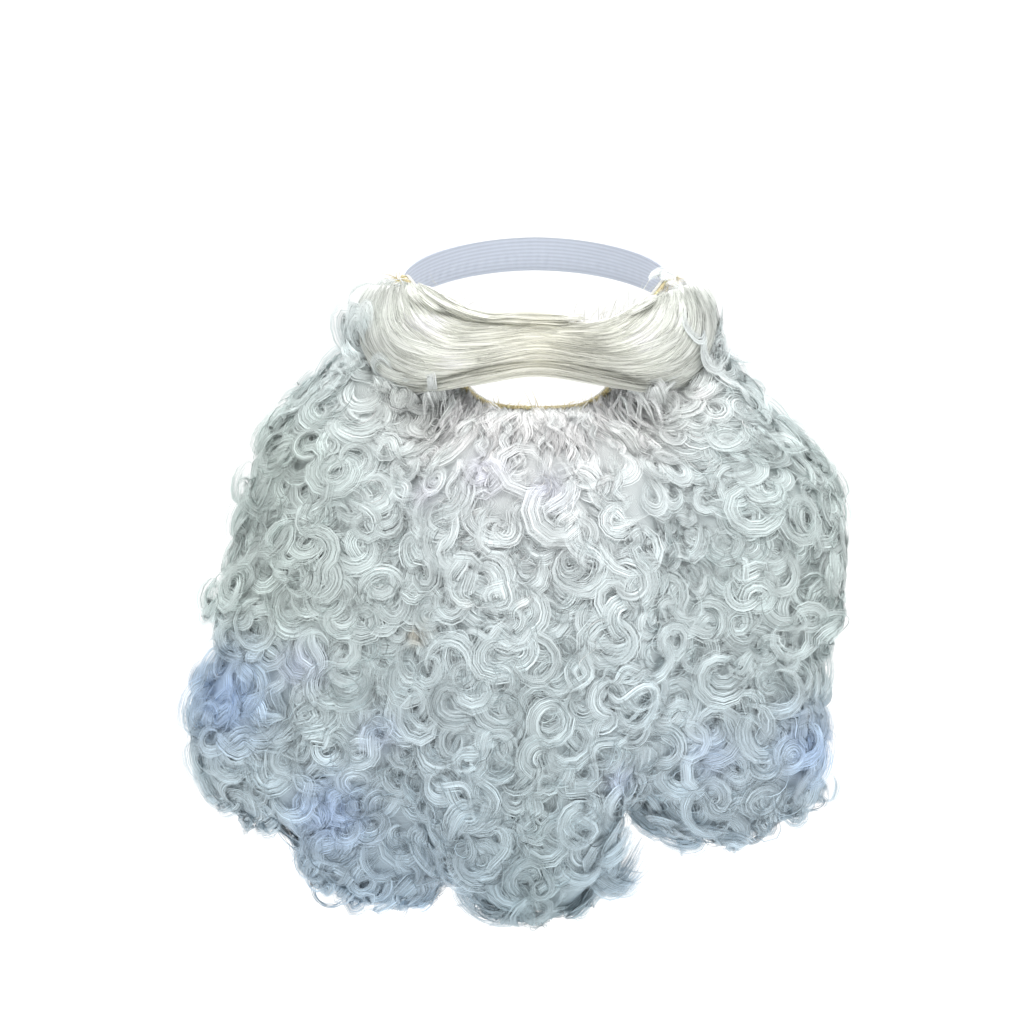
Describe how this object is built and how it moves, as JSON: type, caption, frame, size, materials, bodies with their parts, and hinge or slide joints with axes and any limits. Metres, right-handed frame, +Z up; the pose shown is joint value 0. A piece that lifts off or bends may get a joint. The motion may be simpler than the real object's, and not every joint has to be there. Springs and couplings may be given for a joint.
{
  "type": "false beard with moustache",
  "caption": "Full curly white false beard with a straight combed moustache on a cloth face base, open at the mouth, with an elastic strap that goes round the back of the head.",
  "frame": {"origin": "on the upper lip under the nose, in the middle, where the moustache band rests on the face", "axes": "+Z up, along the longest extent; the front looks along -Y; +X is on the viewer's right"},
  "size_m": [0.3666, 0.2617, 0.3929],
  "materials": {
    "cloth": "matt knitted cloth, off-white",
    "weft": "sewn hair edging, yellow",
    "curly_hair": "glossy curled synthetic hair, cool white",
    "straight_hair": "silky straight synthetic hair, ivory white",
    "elastic": "ribbed woven elastic, bluish white"
  },
  "bodies": {
    "root": {"beard_base": "cloth", "beard_weft_edge": "weft", "beard_hair": "curly_hair", "moustache_band": "cloth", "moustache_weft_edge": "weft", "moustache_hair": "straight_hair", "elastic_strap": "elastic"}
  },
  "joints": []
}
